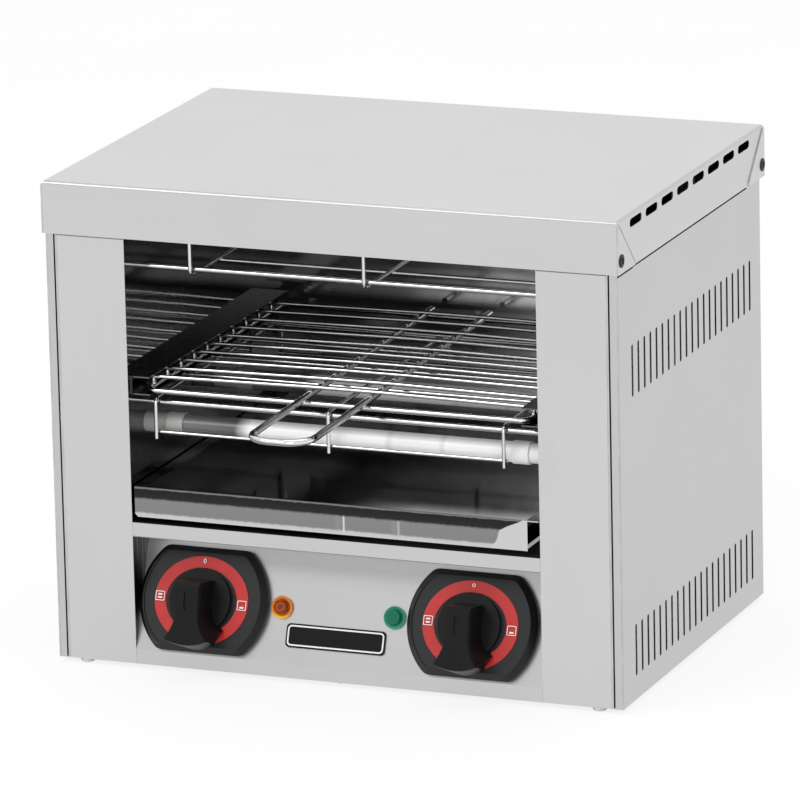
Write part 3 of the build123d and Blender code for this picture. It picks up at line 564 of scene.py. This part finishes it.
# The material of every CAD node
LOOKS = {
    "lid": lid_steel, "left_side_panel": side_steel, "right_side_panel": side_steel,
    "left_inner_wall": inner_steel, "right_inner_wall": inner_steel, "cavity_back": back_mirror,
    "cavity_roof": cavity_steel, "cavity_floor": front_steel, "back_panel": back_steel,
    "base_plate": base_steel, "control_panel": front_steel, "feet": foot_grey, "base_rivets": plated,
    "lid_screws": screw_black, "back_screws": plated, "cable_bush": screw_black,
    "left_bezel": bezel_black, "right_bezel": bezel_black, "left_dial_ring": ring_red,
    "right_dial_ring": ring_red, "left_knob": knob_black, "right_knob": knob_black,
    "left_spindle": plated, "right_spindle": plated, "left_rotary_switch": switch_grey,
    "right_rotary_switch": switch_grey, "amber_lamp_lens": amber, "green_lamp_lens": green,
    "lamp_bodies": switch_grey, "front_plate": plate_black, "left_rack_runner": runner_steel,
    "right_rack_runner": runner_steel, "left_tray_runner": runner_steel, "right_tray_runner": runner_steel,
    "rack_frame": chrome, "rack_handle": chrome, "rack_cross_wires": chrome,
    "lower_guard_wires": chrome, "upper_guard_wires": chrome, "lower_guard_rods": chrome,
    "upper_guard_rods": chrome, "lower_guard_cross_rods": chrome, "upper_guard_cross_rods": chrome,
    "lower_front_quartz_tube": quartz_white, "lower_rear_quartz_tube": quartz_white,
    "upper_front_quartz_tube": quartz_white, "upper_rear_quartz_tube": quartz_white,
    "lower_ceramic_ends": ceramic_grey, "upper_ceramic_ends": ceramic_grey,
    "lower_heating_coils": coil_dark, "upper_heating_coils": coil_dark, "crumb_tray": tray_steel,
    "terminal_block": terminal_white, "left_wiring_loom": sleeve_cloth, "right_wiring_loom": sleeve_cloth,
}

for node in nodes:
    mesh = nodes[node].data
    mesh.materials.clear()
    mesh.materials.append(LOOKS[node])


# Limits that tell the faces of a CAD node apart, in metres
POST_FRONT_Y = -0.0989
POST_INSIDE_X = 0.1575
POST_BACK_Y = -0.0800
SKIRT_INSIDE_X = 0.2193
SKIRT_OUTSIDE_X = 0.21995
CASING_MIDDLE_Y = 0.052
UPPER_CASING_Z = 0.3
LID_BEND_Z = 0.356
LID_TOP_Z = 0.359
APRON_FRONT_Y = -0.098

# Least part of a face's normal along an axis, where the face is level, square to it or leans that way
LEVEL = 0.98
SQUARE = 0.9
LEANING = 0.5

PANEL_OUT = (on_panel(0, 0, 1) - on_panel(0, 0, 0)).normalized()


def on_post(face):
    """Tell whether a face is on a post's front or its outside return, brushed as the casing is."""
    centre = face.center
    return centre.y < POST_FRONT_Y or abs(centre.x) > POST_INSIDE_X and centre.y < POST_BACK_Y


def behind_post(face):
    """Tell whether a face is on the outside of an inner wall, where only the slots show it and it is painted
    near black as shade.
    """
    return abs(face.center.x) > POST_INSIDE_X and face.center.y >= POST_BACK_Y


def faces_inwards(face):
    """Tell whether a face of the outer casing looks into it, where the sheet is painted near black as shade.
    """
    centre = face.center
    normal = face.normal
    if abs(centre.x) > SKIRT_INSIDE_X:
        return False
    if abs(normal.x) > LEANING:
        return normal.x * centre.x < 0
    if abs(normal.y) > LEANING:
        return normal.y * (centre.y - CASING_MIDDLE_Y) < 0
    return normal.z < -LEANING and centre.z > UPPER_CASING_Z


def on_roof_front(face):
    """Tell whether a face is on the front edge of the cavity's roof."""
    return face.center.y < POST_FRONT_Y


def on_floor_top(face):
    """Tell whether a face is on top of the cavity's floor, behind its nose."""
    return face.normal.z > SQUARE and face.center.y > POST_FRONT_Y


def inside_back(face):
    """Tell whether a face of the back panel looks into the casing."""
    return face.normal.y < -SQUARE


def on_lid_top(face):
    """Tell whether a face is the lid's flat top."""
    return face.normal.z > LEVEL and face.center.z > LID_TOP_Z


def on_bend(face):
    """Tell whether a face is on the lid's rounded front or back bend."""
    return 0.1 < face.normal.z < LEVEL and abs(face.normal.y) > 0.15 and face.center.z > LID_BEND_Z


def on_tab_edge(face):
    """Tell whether a face is the thin edge of one of the lid's corner tabs."""
    return SKIRT_INSIDE_X < abs(face.center.x) < SKIRT_OUTSIDE_X and 0.4 < abs(face.normal.z) < 0.95


def on_slope(face):
    """Tell whether a face is on the sloping part of the control panel."""
    return face.normal.z > 0.2 and face.normal.y < -LEANING


def on_apron(face):
    """Tell whether a face is the front of the tray's apron."""
    return face.normal.y < -SQUARE and face.center.y < APRON_FRONT_Y


def beside_bezel_face(face):
    """Tell whether a face of a bezel isn't on its flat face."""
    return face.normal.dot(PANEL_OUT) < SQUARE


# Faces that get a second material. Where two tests hold for a face, the later row counts.
# The near-black steel inside the casing, behind the posts, on the floor's top and inside the back is painted
# shade
for node, material, test in (
        ("lid", shade_black_steel, faces_inwards),
        ("left_side_panel", shade_black_steel, faces_inwards),
        ("right_side_panel", shade_black_steel, faces_inwards),
        ("left_inner_wall", post_steel, on_post),
        ("left_inner_wall", shade_black_steel, behind_post),
        ("right_inner_wall", post_steel, on_post),
        ("right_inner_wall", shade_black_steel, behind_post),
        ("cavity_roof", front_steel, on_roof_front),
        ("cavity_floor", shade_black_steel, on_floor_top),
        ("back_panel", shade_black_steel, inside_back),
        ("lid", lid_top_lit_steel, on_lid_top),
        ("lid", tab_grey, on_tab_edge),
        ("lid", bend_shaded_steel, on_bend),
        ("control_panel", panel_shaded_steel, on_slope),
        ("crumb_tray", apron_reflection_steel, on_apron),
        ("left_bezel", bezel_side_shaded_black, beside_bezel_face),
        ("right_bezel", bezel_side_shaded_black, beside_bezel_face)):
    mesh = nodes[node].data
    mesh.materials.append(material)
    for face in mesh.polygons:
        if test(face):
            face.material_index = len(mesh.materials) - 1


# Shading of the round parts

def smooth(mesh, angle):
    """Shade a mesh smoothly, apart from its edges over an angle in degrees."""
    mesh.shade_smooth()
    mesh.set_sharp_from_angle(angle=math.radians(angle))


def soften(node, width, segments, angle):
    """Round the edges of a CAD node slightly, so that they catch the light."""
    piece = nodes[node]
    bevel = piece.modifiers.new("edges", "BEVEL")
    bevel.width = width
    bevel.segments = segments
    bevel.limit_method = "ANGLE"
    bevel.angle_limit = math.radians(angle)
    bevel.harden_normals = False
    normals = piece.modifiers.new("normals", "WEIGHTED_NORMAL")
    normals.keep_sharp = False


ROUND = (
    "rack_frame", "rack_handle", "rack_cross_wires", "lower_guard_wires", "upper_guard_wires",
    "lower_guard_rods", "upper_guard_rods", "lower_guard_cross_rods", "upper_guard_cross_rods",
    "lower_front_quartz_tube", "lower_rear_quartz_tube", "upper_front_quartz_tube",
    "upper_rear_quartz_tube", "lower_ceramic_ends", "upper_ceramic_ends", "left_wiring_loom",
    "right_wiring_loom", "amber_lamp_lens", "green_lamp_lens", "feet", "base_rivets", "cable_bush",
    "left_knob", "right_knob", "left_bezel", "right_bezel", "left_dial_ring", "right_dial_ring",
    "lower_heating_coils", "upper_heating_coils",
)
for node in ROUND:
    smooth(nodes[node].data, 32)

for side in ("left", "right"):
    soften(side + "_knob", 0.0007, 3, 28)
    soften(side + "_bezel", 0.0005, 2, 30)


# Small pieces

def mesh_piece(name, build, material, body):
    """Make a piece from a function that fills a bmesh, and let it ride on a body."""
    mesh = bpy.data.meshes.new(name)
    form = bmesh.new()
    build(form)
    bmesh.ops.recalc_face_normals(form, faces=form.faces)
    form.to_mesh(mesh)
    form.free()
    mesh.materials.append(material)
    piece = bpy.data.objects.new(name, mesh)
    bpy.context.scene.collection.objects.link(piece)
    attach(piece, body)
    return piece


def add_ring(form, matrix, outline, level):
    """Add the points of an outline at a level, both in millimetres, and return them."""
    return [form.verts.new(matrix @ Vector((x * MM, y * MM, level * MM))) for x, y in outline]


def join_rings(form, first, second):
    """Join two rings that have the same number of points."""
    count = len(first)
    for i in range(count):
        j = (i + 1) % count
        form.faces.new((first[i], first[j], second[j], second[i]))


def band(form, matrix, outer, inner, low, high):
    """Add a closed flat band between two outlines that have the same number of points."""
    rings = [add_ring(form, matrix, outline, level)
             for outline, level in ((outer, low), (outer, high), (inner, high), (inner, low))]
    for first, second in zip(rings, rings[1:] + rings[:1]):
        join_rings(form, first, second)


def rounded_box(width, height, radius, steps=5, centre=(0, 0)):
    """Return the outline of a rectangle with round corners."""
    points = []
    for corner, (sx, sy) in enumerate(((1, 1), (-1, 1), (-1, -1), (1, -1))):
        for i in range(steps + 1):
            angle = math.radians(90 * corner + 90 * i / steps)
            points.append((centre[0] + sx * (width / 2 - radius) + radius * math.cos(angle),
                           centre[1] + sy * (height / 2 - radius) + radius * math.sin(angle)))
    return points


def oval(half_width, half_height, centre, steps=28):
    """Return the outline of an oval."""
    return [(centre[0] + half_width * math.cos(2 * math.pi * i / steps),
             centre[1] + half_height * math.sin(2 * math.pi * i / steps)) for i in range(steps)]


def bar(form, matrix, centre, width, height, low, high):
    """Add a small flat bar with slightly round corners."""
    outline = rounded_box(width, height, min(width, height) * 0.2, 2, centre)
    bottom, top = [add_ring(form, matrix, outline, level) for level in (low, high)]
    join_rings(form, bottom, top)
    form.faces.new(top)
    form.faces.new(list(reversed(bottom)))


# Marks on the dials, in millimetres
MARK_LOW = 0.50
MARK_HIGH = 0.58
ICON = 7.0
ICON_INNER = ICON - 1.1
ICON_X = 32.0
BAR_WIDTH = 3.4
BAR_HEIGHT = 1.2
ZERO_UP = 28.8
ZERO_LINE = 0.5


def icon(form, matrix, centre, bars):
    """Add one plain sign: a square outline with short bars in it."""
    outer = rounded_box(ICON, ICON, 0.7, 3, centre)
    inner = rounded_box(ICON_INNER, ICON_INNER, 0.4, 3, centre)
    band(form, matrix, outer, inner, MARK_LOW, MARK_HIGH)
    for rise in bars:
        bar(form, matrix, (centre[0], centre[1] + rise), BAR_WIDTH, BAR_HEIGHT, MARK_LOW, MARK_HIGH)


def dial_marks(x, zero):
    """Return the function that builds the white marks of one dial. zero gives its ring's half sizes."""
    def build(form):
        matrix = panel_matrix(x, KNOB_UP, BEZEL_HEIGHT)
        half_width, half_height = zero
        band(form, matrix, oval(half_width, half_height, (0, ZERO_UP)),
             oval(half_width - ZERO_LINE, half_height - ZERO_LINE, (0, ZERO_UP)), MARK_LOW, MARK_HIGH)
        icon(form, matrix, (-ICON_X, 1.0), (1.15, -1.15))
        icon(form, matrix, (ICON_X, -1.0), (-1.5,))
    return build


mesh_piece("left_dial_marks", dial_marks(KNOB_X[0], (1.1, 1.8)), mark_white, "casing")
mesh_piece("right_dial_marks", dial_marks(KNOB_X[1], (1.3, 1.35)), mark_white, "casing")

BORDER_WIDTH = 74.4
BORDER_HEIGHT = 15.0
BORDER_LINE = 1.1
BORDER_THICKNESS = 0.12


def plate_border(form):
    """Build the white line near the rim of the bare plate."""
    outer = rounded_box(BORDER_WIDTH, BORDER_HEIGHT, 2.9, 6)
    inner = rounded_box(BORDER_WIDTH - 2 * BORDER_LINE, BORDER_HEIGHT - 2 * BORDER_LINE, 2.0, 6)
    band(form, panel_matrix(PLATE_X, PLATE_UP, PLATE_HEIGHT), outer, inner, 0.0, BORDER_THICKNESS)


mesh_piece("plate_border", plate_border, mark_white, "casing")

# Screw heads: points round and rings, half width of the cross in metres, and shares of the head's size
HEAD_STEPS = 48
HEAD_RINGS = 14
CROSS_HALF = 0.0007
CROSS_REACH = 0.58
CROSS_DEPTH = 0.55
DOME_FALL = 0.55
DOME_POWER = 2.4
RIM_DEPTH = 0.45
LID_CROSS_WAY = Vector((0, 0.8, 0.6))
LID_SIDE_X = 0.22
BACK_HEAD_RISE = 0.0024


def screw_head(form, centre, axis, radius, rise):
    """Add one domed screw head with a cross recess, closed at its underside."""
    axis = Vector(axis)
    on_lid_side = abs(axis.x) > 0.5
    side = (LID_CROSS_WAY if on_lid_side else axis.orthogonal()).normalized()
    other = axis.cross(side)
    rows = []
    for r in range(HEAD_RINGS + 1):
        part = r / HEAD_RINGS
        row = []
        for i in range(HEAD_STEPS if r else 1):
            angle = 2 * math.pi * i / HEAD_STEPS
            u = radius * part * math.cos(angle)
            v = radius * part * math.sin(angle)
            dome = rise * (1 - DOME_FALL * part ** DOME_POWER)
            if min(abs(u), abs(v)) < CROSS_HALF and max(abs(u), abs(v)) < radius * CROSS_REACH:
                dome -= rise * CROSS_DEPTH
            row.append(form.verts.new(centre + side * u + other * v + axis * dome))
        rows.append(row)
    rim = [form.verts.new(vert.co - axis * (rise * RIM_DEPTH)) for vert in rows[-1]]
    rows.append(rim)
    for i in range(HEAD_STEPS):
        j = (i + 1) % HEAD_STEPS
        form.faces.new((rows[0][0], rows[1][i], rows[1][j]))
        for lower, upper in zip(rows[1:], rows[2:]):
            form.faces.new((lower[i], upper[i], upper[j], lower[j]))
    form.faces.new(list(reversed(rim)))


def islands(node):
    """Return the boxes of the separate solids of a CAD node, as lowest and highest corners."""
    form = bmesh.new()
    form.from_mesh(nodes[node].data)
    bmesh.ops.remove_doubles(form, verts=form.verts, dist=1e-7)
    left = set(form.verts)
    boxes = []
    while left:
        stack = [left.pop()]
        found = [stack[0].co.copy()]
        while stack:
            vert = stack.pop()
            for edge in vert.link_edges:
                other = edge.other_vert(vert)
                if other in left:
                    left.remove(other)
                    found.append(other.co.copy())
                    stack.append(other)
        low = Vector([min(co[k] for co in found) for k in range(3)])
        high = Vector([max(co[k] for co in found) for k in range(3)])
        boxes.append((low, high))
    form.free()
    return sorted(boxes, key=lambda pair: tuple(round(value, 4) for value in pair[0]))


def lid_screw_heads(form):
    """Build the four heads on the lid's sides."""
    for low, high in islands("lid_screws"):
        way = 1 if low.x + high.x > 0 else -1
        outer = high.x if way > 0 else low.x
        middle = (low + high) / 2
        seat = way * LID_SIDE_X
        screw_head(form, Vector((seat, middle.y, middle.z)), (way, 0, 0), (high.z - low.z) / 2,
                   abs(outer - seat))


def back_screw_heads(form):
    """Build the heads on the back."""
    for low, high in islands("back_screws"):
        middle = (low + high) / 2
        seat = high.y - BACK_HEAD_RISE
        screw_head(form, Vector((middle.x, seat, middle.z)), (0, 1, 0), (high.z - low.z) / 2, BACK_HEAD_RISE)


lid_heads = mesh_piece("lid_screw_heads", lid_screw_heads, screw_black, "casing")
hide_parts("lid_screws")
back_heads = mesh_piece("back_screw_heads", back_screw_heads, plated, "casing")
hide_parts("back_screws")
for piece in (lid_heads, back_heads):
    smooth(piece.data, 40)

# Painted shadow lines and seam lines at the casing's seams and bends, in millimetres
STRIP_THICKNESS = 0.05
SKIRT_Z = 320.8
LID_FRONT_Y = -102.45
TAB_X = 220.0
SIDE_X = 218.1
POST_Y = -100.45
POST_INNER_X = 157.6
POST_OUTER_X = 210.6
NOSE_HALF = 157.0
NOSE_LINE_Z = 99.3
SHADOW_STEP_Y = -68.0
SHADOW_END_Y = 175.0
BEND_LOW_Z = 4.0
POST_BEND_X = 210.0
PANEL_BEND_X = 217.4
LID_BEND_X = 219.3
FRONT = (0, -1, 0)


def strip(form, start, end, width, out):
    """Add one thin flat strip from start to end, on the surface that the way out points from."""
    start = Vector(start)
    end = Vector(end)
    out = Vector(out)
    across = (end - start).cross(out).normalized() * (width / 2)
    corners = []
    for base in (start, end):
        for way in (-1, 1):
            for lift in (0.0, STRIP_THICKNESS):
                corners.append(form.verts.new((base + across * way + out * lift) * MM))
    low = (0, 1, 3, 2)
    form.faces.new([corners[i] for i in low])
    form.faces.new([corners[i + 4] for i in reversed(low)])
    for first, second in ((0, 1), (1, 3), (3, 2), (2, 0)):
        form.faces.new((corners[first], corners[first + 4], corners[second + 4], corners[second]))


def skirt_shadow_strips(form):
    """Build the painted shadows under the lid's skirt, wider at the front."""
    for side in (-1, 1):
        x = side * SIDE_X
        for start_y, end_y, drop, width in (
                (POST_Y + 0.6, SHADOW_STEP_Y, 1.2, 2.8), (SHADOW_STEP_Y, SHADOW_END_Y, 0.9, 2.2)):
            z = SKIRT_Z - drop
            strip(form, (x, start_y, z), (x, end_y, z), width, (side, 0, 0))


def seams_and_shadow_lines(form):
    """Build the fine seam lines beside the lid's front tabs and along the nose strip, and the painted shadow
    lines over the posts.
    """
    for side in (-1, 1):
        strip(form, (side * TAB_X, LID_FRONT_Y + 1.9, SKIRT_Z + 36.0),
              (side * TAB_X, LID_FRONT_Y + 34.2, SKIRT_Z + 2.0), 0.7, (side, 0, 0))
        # Painted shadow under the lid's front skirt on each post
        strip(form, (side * POST_INNER_X, POST_Y, SKIRT_Z - 0.7),
              (side * POST_OUTER_X, POST_Y, SKIRT_Z - 0.7), 1.2, FRONT)
    strip(form, (-NOSE_HALF, POST_Y, NOSE_LINE_Z), (NOSE_HALF, POST_Y, NOSE_LINE_Z), 0.6, FRONT)


def bend_shade_lines(form):
    """Build the soft painted shade lines along the upright bends of the posts, the side panels and the lid.
    """
    for side in (-1, 1):
        for x, y, low, high, width, out in (
                (POST_BEND_X, POST_Y, BEND_LOW_Z, SKIRT_Z - 2.0, 1.8, FRONT),
                (PANEL_BEND_X, POST_Y, BEND_LOW_Z, SKIRT_Z - 2.0, 1.3, FRONT),
                (SIDE_X, POST_Y + 0.7, BEND_LOW_Z, SKIRT_Z - 3.0, 1.3, (side, 0, 0)),
                (LID_BEND_X, LID_FRONT_Y, SKIRT_Z + 0.2, SKIRT_Z + 35.0, 1.3, FRONT)):
            strip(form, (side * x, y, low), (side * x, y, high), width, out)


mesh_piece("bend_shadows", bend_shade_lines, bend_shade_grey, "casing")
mesh_piece("skirt_shadows", skirt_shadow_strips, skirt_shadow_black, "casing")
mesh_piece("fine_seams_and_shadows", seams_and_shadow_lines, seam_and_shadow_grey, "casing")

# Spot welds where the cross wires lie on the rack's side rods, in metres
SIDE_ROD_X = 0.1462
WELD_RADIUS = 0.0021
WELD_FLATNESS = 0.62
WELD_LIFT = 0.0002


def weld_spots(form):
    """Build one small smooth bead at each crossing."""
    for low, high in islands("rack_cross_wires"):
        y = (low.y + high.y) / 2
        for x in (-SIDE_ROD_X, SIDE_ROD_X):
            made = bmesh.ops.create_uvsphere(form, u_segments=14, v_segments=8, radius=WELD_RADIUS)
            bmesh.ops.scale(form, verts=made["verts"], vec=(1.0, 1.0, WELD_FLATNESS))
            bmesh.ops.translate(form, verts=made["verts"], vec=(x, y, (low.z + WELD_LIFT)))


welds = mesh_piece("rack_welds", weld_spots, chrome, "rack")
welds.data.shade_smooth()


# Floor, world and lights

FLOOR_SIZE = 14
FLOOR_Z = -0.0002
FLOOR_GLOW = 0.82
SKY_STRENGTH = 0.90


def backdrop_material():
    """Make a white floor that keeps the shadow of the object."""
    material, tree, shader = new_material("white_floor")
    grain = noise(tree, coordinates(tree), 60.0)
    feed(tree, shader, {"Base Color": ramp(tree, grain, [(0.3, 0.87), (0.7, 0.90)]), "Roughness": 0.8})
    light = tree.nodes.new("ShaderNodeLightPath")
    seen = math_node(tree, "MAXIMUM", light.outputs["Is Camera Ray"], light.outputs["Is Glossy Ray"])
    seen = math_node(tree, "MAXIMUM", seen, light.outputs["Is Transmission Ray"])
    glow = tree.nodes.new("ShaderNodeEmission")
    feed(tree, glow, {"Color": EVEN, "Strength": 1.0})
    both = tree.nodes.new("ShaderNodeMixShader")
    tree.links.new(times(tree, seen, FLOOR_GLOW), both.inputs["Fac"])
    tree.links.new(shader.outputs["BSDF"], both.inputs[1])
    tree.links.new(glow.outputs["Emission"], both.inputs[2])
    tree.links.new(both.outputs["Shader"], tree.nodes["Material Output"].inputs["Surface"])
    return material


bpy.ops.mesh.primitive_plane_add(size=1)
floor = bpy.context.object
floor.name = "floor"
floor.scale = (FLOOR_SIZE, FLOOR_SIZE, 1)
floor.location = (0, 0, FLOOR_Z)
floor.data.materials.append(backdrop_material())

world = bpy.data.worlds.new("studio")
bpy.context.scene.world = world
world.use_nodes = True
world_tree = world.node_tree
sky = world_tree.nodes["Background"]
feed(world_tree, sky, {"Color": EVEN, "Strength": SKY_STRENGTH})
bright = world_tree.nodes.new("ShaderNodeBackground")
feed(world_tree, bright, {"Color": EVEN, "Strength": 1.0})
world_path = world_tree.nodes.new("ShaderNodeLightPath")
world_mix = world_tree.nodes.new("ShaderNodeMixShader")
world_tree.links.new(world_path.outputs["Is Camera Ray"], world_mix.inputs["Fac"])
world_tree.links.new(sky.outputs["Background"], world_mix.inputs[1])
world_tree.links.new(bright.outputs["Background"], world_mix.inputs[2])
world_tree.links.new(world_mix.outputs["Shader"], world_tree.nodes["World Output"].inputs["Surface"])

# Large soft lamps: name, place and target in metres, size in metres, and power in watts
for name, place, target, size, power in (
        ("key", (-1.3, -1.9, 2.2), (0, 0, 0.18), (1.6, 1.2), 26),
        ("top", (0.3, 0.4, 2.6), (0, 0.05, 0.2), (1.8, 1.8), 16),
        ("front", (0.9, -3.0, 0.9), (0, 0, 0.2), (1.4, 1.0), 8)):
    light_data = bpy.data.lights.new(name, "AREA")
    light_data.shape = "RECTANGLE"
    light_data.size, light_data.size_y = size
    light_data.energy = power
    lamp = bpy.data.objects.new(name, light_data)
    lamp.location = place
    way = Vector(target) - Vector(place)
    lamp.rotation_euler = way.to_track_quat("-Z", "Y").to_euler()
    bpy.context.scene.collection.objects.link(lamp)

# Camera at the photograph's viewing angle: focal length in pixels, places in millimetres
AZIMUTH = math.radians(21.888)
ELEVATION = math.radians(15.108)
ROLL = math.radians(1.289)
FOCAL = 7805.1
PICTURE_WIDTH = 800
SENSOR_WIDTH = 36
SHIFT_X = -45.404
SHIFT_Y = 203.476
DISTANCE = 5600.6
CAMERA_ORIGIN = Vector((0, LID_FRONT_Y, 3.2))
back = Vector((math.sin(AZIMUTH) * math.cos(ELEVATION), -math.cos(AZIMUTH) * math.cos(ELEVATION),
               math.sin(ELEVATION)))
forward = -back
level = forward.cross(Vector((0, 0, 1))).normalized()
drop = forward.cross(level)
right = math.cos(ROLL) * level + math.sin(ROLL) * drop
down = -math.sin(ROLL) * level + math.cos(ROLL) * drop
eye = -(SHIFT_X * right + SHIFT_Y * down + DISTANCE * forward) + CAMERA_ORIGIN
camera_data = bpy.data.cameras.new("camera")
camera_data.sensor_width = SENSOR_WIDTH
camera_data.sensor_fit = "HORIZONTAL"
camera_data.lens = FOCAL * SENSOR_WIDTH / PICTURE_WIDTH
camera_data.clip_end = 60
camera = bpy.data.objects.new("camera", camera_data)
camera.matrix_world = axes_matrix(right, -down, -forward, eye * MM)
bpy.context.scene.collection.objects.link(camera)
bpy.context.scene.camera = camera
bpy.context.scene.view_settings.view_transform = "Standard"
